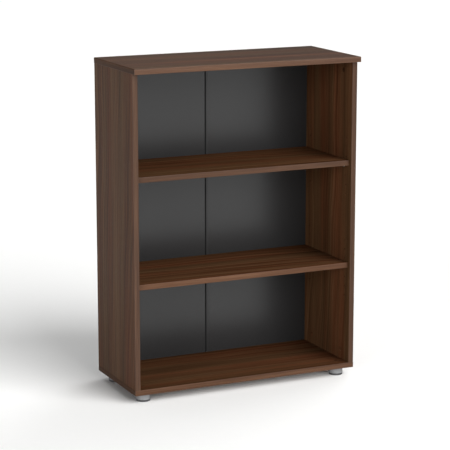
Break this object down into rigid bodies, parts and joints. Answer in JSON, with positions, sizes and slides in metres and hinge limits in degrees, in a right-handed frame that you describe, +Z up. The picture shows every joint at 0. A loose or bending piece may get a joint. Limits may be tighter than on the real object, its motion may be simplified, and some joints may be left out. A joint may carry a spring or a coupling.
{
  "type": "bookcase",
  "caption": "Free-standing open bookcase with adjustable shelves on plug-in supports, a thin two-piece back and round levelling feet.",
  "frame": {"origin": "middle of the base, on the floor, under the centre of the whole object's box", "axes": "+X to the right seen from the front, +Y to the back, +Z up"},
  "size_m": [0.8, 0.35, 1.09],
  "materials": {
    "walnut_faces": "satin",
    "walnut_edging": "satin",
    "graphite_back": "matte",
    "graphite_strip": "satin",
    "zinc_steel": "satin",
    "beech": "matte",
    "walnut_caps": "satin",
    "silver_plastic": "satin",
    "dark_glide": "matte"
  },
  "bodies": {
    "carcass": {"top_panel": "walnut_faces", "top_front_edging": "walnut_edging", "top_left_edging": "walnut_edging", "top_right_edging": "walnut_edging", "bottom_panel": "walnut_faces", "bottom_front_edging": "walnut_edging", "bottom_left_edging": "walnut_edging", "bottom_right_edging": "walnut_edging", "left_side_panel": "walnut_faces", "left_side_front_edging": "walnut_edging", "right_side_panel": "walnut_faces", "right_side_front_edging": "walnut_edging", "back_panel_left": "graphite_back", "back_panel_right": "graphite_back", "back_joint_strip": "graphite_strip", "back_panel_screws": "zinc_steel", "cam_bolts": "zinc_steel", "cam_discs": "zinc_steel", "cam_cover_caps": "walnut_caps", "wooden_dowels": "beech", "foot_access_caps": "walnut_caps", "front_left_foot_sleeve": "silver_plastic", "front_right_foot_sleeve": "silver_plastic", "rear_left_foot_sleeve": "silver_plastic", "rear_right_foot_sleeve": "silver_plastic"},
    "upper_supports": {"upper_shelf_supports": "zinc_steel"},
    "upper_shelf": {"upper_shelf_board": "walnut_faces", "upper_shelf_front_edging": "walnut_edging"},
    "lower_supports": {"lower_shelf_supports": "zinc_steel"},
    "lower_shelf": {"lower_shelf_board": "walnut_faces", "lower_shelf_front_edging": "walnut_edging"},
    "front_left_base": {"front_left_foot_base": "dark_glide"},
    "front_left_spindle": {"front_left_foot_spindle": "zinc_steel"},
    "front_right_base": {"front_right_foot_base": "dark_glide"},
    "front_right_spindle": {"front_right_foot_spindle": "zinc_steel"},
    "rear_left_base": {"rear_left_foot_base": "dark_glide"},
    "rear_left_spindle": {"rear_left_foot_spindle": "zinc_steel"},
    "rear_right_base": {"rear_right_foot_base": "dark_glide"},
    "rear_right_spindle": {"rear_right_foot_spindle": "zinc_steel"}
  },
  "joints": [
    {"name": "upper_shelf_height", "type": "slide", "parent": "carcass", "child": "upper_supports", "axis": [0, 0, 1], "range_m": [-0.096, 0.096]},
    {"name": "upper_shelf_pull_out", "type": "slide", "parent": "upper_supports", "child": "upper_shelf", "axis": [0, -1, 0], "range_m": [0, 0.36]},
    {"name": "lower_shelf_height", "type": "slide", "parent": "carcass", "child": "lower_supports", "axis": [0, 0, 1], "range_m": [-0.096, 0.096]},
    {"name": "lower_shelf_pull_out", "type": "slide", "parent": "lower_supports", "child": "lower_shelf", "axis": [0, -1, 0], "range_m": [0, 0.36]},
    {"name": "front_left_foot_travel", "type": "slide", "parent": "carcass", "child": "front_left_base", "axis": [0, 0, -1], "range_m": [0, 0.012]},
    {"name": "front_left_foot_turn", "type": "hinge", "parent": "front_left_base", "child": "front_left_spindle", "pos_m": [-0.355, -0.11, 0.02], "axis": [0, 0, -1], "range_deg": [0, 3456.1]},
    {"name": "front_right_foot_travel", "type": "slide", "parent": "carcass", "child": "front_right_base", "axis": [0, 0, -1], "range_m": [0, 0.012]},
    {"name": "front_right_foot_turn", "type": "hinge", "parent": "front_right_base", "child": "front_right_spindle", "pos_m": [0.355, -0.11, 0.02], "axis": [0, 0, -1], "range_deg": [0, 3456.1]},
    {"name": "rear_left_foot_travel", "type": "slide", "parent": "carcass", "child": "rear_left_base", "axis": [0, 0, -1], "range_m": [0, 0.012]},
    {"name": "rear_left_foot_turn", "type": "hinge", "parent": "rear_left_base", "child": "rear_left_spindle", "pos_m": [-0.355, 0.132, 0.02], "axis": [0, 0, -1], "range_deg": [0, 3456.1]},
    {"name": "rear_right_foot_travel", "type": "slide", "parent": "carcass", "child": "rear_right_base", "axis": [0, 0, -1], "range_m": [0, 0.012]},
    {"name": "rear_right_foot_turn", "type": "hinge", "parent": "rear_right_base", "child": "rear_right_spindle", "pos_m": [0.355, 0.132, 0.02], "axis": [0, 0, -1], "range_deg": [0, 3456.1]}
  ],
  "couplings": [
    {"joint": "front_left_foot_turn", "follows": "front_left_foot_travel", "rad_per_m": 5026.5},
    {"joint": "front_right_foot_turn", "follows": "front_right_foot_travel", "rad_per_m": 5026.5},
    {"joint": "rear_left_foot_turn", "follows": "rear_left_foot_travel", "rad_per_m": 5026.5},
    {"joint": "rear_right_foot_turn", "follows": "rear_right_foot_travel", "rad_per_m": 5026.5}
  ]
}
